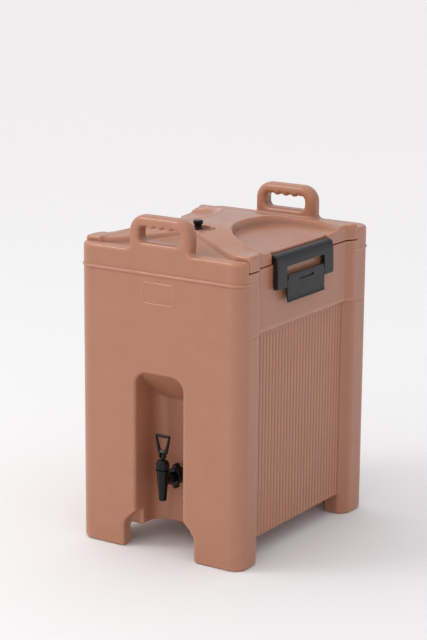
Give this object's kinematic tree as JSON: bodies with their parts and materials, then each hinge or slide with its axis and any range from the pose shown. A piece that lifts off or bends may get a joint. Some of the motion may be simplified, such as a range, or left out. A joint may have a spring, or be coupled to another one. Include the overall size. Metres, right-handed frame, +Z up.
{
  "type": "insulated beverage dispenser",
  "caption": "Insulated beverage dispenser: tall foam-filled box tank on corner feet with ribbed sides, carrying handles, latched plug lid, vent cap and lever tap in a front recess.",
  "frame": {"origin": "middle of the tank's footprint, on the floor under its feet", "axes": "+Z up, -Y towards the tap side, +X to the right-hand latch as the dispenser is seen from +X"},
  "size_m": [0.4124, 0.527, 0.716],
  "materials": {
    "tank_shell": "satin",
    "lid_moulding": "satin",
    "insulation": "matte",
    "latch_nylon": "satin",
    "tap_black": "gloss",
    "seal": "matte",
    "steel": "polished"
  },
  "bodies": {
    "body": {"body_shell": "tank_shell", "body_foam": "insulation", "body_fill_plug": "tank_shell", "tap_body": "tap_black", "tap_bonnet": "tap_black", "tap_spring": "steel", "tap_collar": "tap_black", "tap_gasket_outer": "seal", "tap_gasket_inner": "seal", "tap_nut": "tap_black", "latch_keeper_right": "latch_nylon", "latch_keeper_left": "latch_nylon", "latch_screw_right_1": "steel", "latch_screw_right_2": "steel", "latch_screw_left_1": "steel", "latch_screw_left_2": "steel"},
    "lid": {"lid_shell": "lid_moulding", "lid_foam": "insulation", "lid_fill_plug": "tank_shell", "lid_gasket": "seal", "vent_gasket": "seal", "latch_rod_right": "steel", "latch_rod_left": "steel"},
    "vent_cap": {"vent_cap": "tap_black"},
    "tap_stem": {"tap_stem": "tap_black", "tap_seat_cup": "seal", "tap_lever_pin": "steel"},
    "tap_lever": {"tap_lever": "tap_black"},
    "latch_plate_right": {"latch_plate_right": "latch_nylon", "latch_tab_pin_right": "steel", "latch_spring_right": "steel"},
    "latch_tab_right": {"latch_tab_right": "latch_nylon", "latch_hook_right": "latch_nylon"},
    "latch_plate_left": {"latch_plate_left": "latch_nylon", "latch_tab_pin_left": "steel", "latch_spring_left": "steel"},
    "latch_tab_left": {"latch_tab_left": "latch_nylon", "latch_hook_left": "latch_nylon"}
  },
  "joints": [
    {"name": "lid_lift", "type": "slide", "parent": "body", "child": "lid", "axis": [0, 0, 1], "range_m": [0, 0.065]},
    {"name": "latch_swing_right", "type": "hinge", "parent": "lid", "child": "latch_plate_right", "pos_m": [0.187, 0, 0.634], "axis": [0, -1, 0], "range_deg": [0, 82]},
    {"name": "latch_tab_tilt_right", "type": "hinge", "parent": "latch_plate_right", "child": "latch_tab_right", "pos_m": [0.1998, 0, 0.588], "axis": [0, -1, 0], "range_deg": [0, 35], "stiffness_Nm_per_rad": 0.35, "springref_deg": -6.88},
    {"name": "latch_swing_left", "type": "hinge", "parent": "lid", "child": "latch_plate_left", "pos_m": [-0.187, 0, 0.634], "axis": [0, 1, 0], "range_deg": [0, 82]},
    {"name": "latch_tab_tilt_left", "type": "hinge", "parent": "latch_plate_left", "child": "latch_tab_left", "pos_m": [-0.1998, 0, 0.588], "axis": [0, 1, 0], "range_deg": [0, 35], "stiffness_Nm_per_rad": 0.35, "springref_deg": -6.88},
    {"name": "vent_cap_turn", "type": "hinge", "parent": "lid", "child": "vent_cap", "pos_m": [0, -0.116, 0.6701], "axis": [0, 0, 1], "range_deg": [0, 90]},
    {"name": "tap_stem_lift", "type": "slide", "parent": "body", "child": "tap_stem", "axis": [0, 0, 1], "range_m": [0, 0.004], "deforming": ["tap_spring"]},
    {"name": "tap_lever_tilt", "type": "hinge", "parent": "tap_stem", "child": "tap_lever", "pos_m": [0, -0.243, 0.2125], "axis": [1, 0, 0], "range_deg": [0, 25], "stiffness_Nm_per_rad": 0.02, "springref_deg": -11.46}
  ],
  "couplings": [
    {"joint": "latch_swing_right", "follows": "lid_lift", "rad_per_m": 22},
    {"joint": "latch_swing_left", "follows": "lid_lift", "rad_per_m": 22},
    {"joint": "tap_lever_tilt", "follows": "tap_stem_lift", "rad_per_m": 109}
  ]
}
